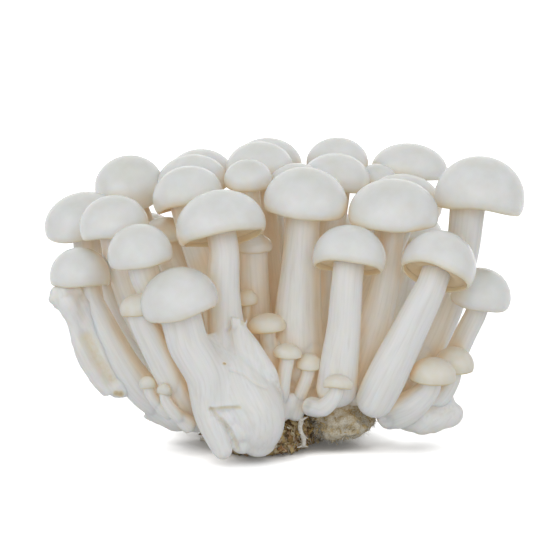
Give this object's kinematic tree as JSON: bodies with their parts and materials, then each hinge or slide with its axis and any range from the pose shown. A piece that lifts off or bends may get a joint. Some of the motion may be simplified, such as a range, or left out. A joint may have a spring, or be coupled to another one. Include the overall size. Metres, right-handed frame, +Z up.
{
  "type": "shimeji mushroom bunch",
  "caption": "Clump of white beech mushrooms whose stems grow together in a shared foot, on a flat-soled plug of sawdust; it stands upright.",
  "frame": {"origin": "on the surface that the clump stands on, under the middle of its outline", "axes": "+Z up along the stems, +X to the right along the clump's widest way, -Y towards its front, where the plug shows"},
  "size_m": [0.1252, 0.0973, 0.0764],
  "materials": {
    "mushroom": "satin grey-white skin over firm white flesh",
    "young_mushroom": "satin cream skin",
    "foot_tissue": "matt white tissue with fine lengthwise fibres",
    "sawdust": "rough compacted sawdust and bran",
    "mycelium": "matt grey-white felt of fine threads"
  },
  "bodies": {
    "root": {"sawdust_plug": "sawdust", "fused_foot": "foot_tissue", "front_left_mushroom": "mushroom", "front_center_mushroom": "mushroom", "center_tall_mushroom": "mushroom", "front_right_mushroom": "mushroom", "right_leaning_mushroom": "mushroom", "right_broad_mushroom": "mushroom", "far_right_high_mushroom": "mushroom", "far_right_low_mushroom": "mushroom", "left_middle_mushroom": "mushroom", "left_high_mushroom": "mushroom", "far_left_low_mushroom": "mushroom", "far_left_high_mushroom": "mushroom", "left_rear_mushroom": "mushroom", "right_rear_mushroom": "mushroom", "crown_left_front": "mushroom", "crown_left_middle": "mushroom", "crown_left_rear": "mushroom", "crown_center_small": "mushroom", "crown_center_middle": "mushroom", "crown_center_rear": "mushroom", "crown_tucked": "mushroom", "crown_right_front": "mushroom", "crown_right_rear": "mushroom", "crown_right_small": "mushroom", "crown_far_right": "mushroom", "left_shaded_mushroom": "mushroom", "center_shaded_mushroom": "mushroom", "rear_far_left_mushroom": "mushroom", "rear_left_mushroom": "mushroom", "rear_center_left_mushroom": "mushroom", "rear_center_right_mushroom": "mushroom", "rear_right_mushroom": "mushroom", "rear_far_right_mushroom": "mushroom", "rear_young_left": "young_mushroom", "rear_young_right": "young_mushroom", "rear_pin": "young_mushroom", "left_young_mushroom": "young_mushroom", "left_pin_outer": "young_mushroom", "left_pin_inner": "young_mushroom", "shaded_pin": "young_mushroom", "front_pin_tall": "young_mushroom", "front_pin_middle": "young_mushroom", "front_pin_round": "young_mushroom", "front_pin_bent": "young_mushroom", "right_low_lumpy": "young_mushroom", "right_low_small": "young_mushroom", "broken_stub": "foot_tissue", "left_aborted_stem": "foot_tissue", "left_frayed_end": "foot_tissue", "left_root_lobe": "foot_tissue", "right_root_lobe": "foot_tissue", "right_root_tip": "foot_tissue", "mycelium_felt": "mycelium", "mycelium_strand": "mycelium"}
  },
  "joints": []
}
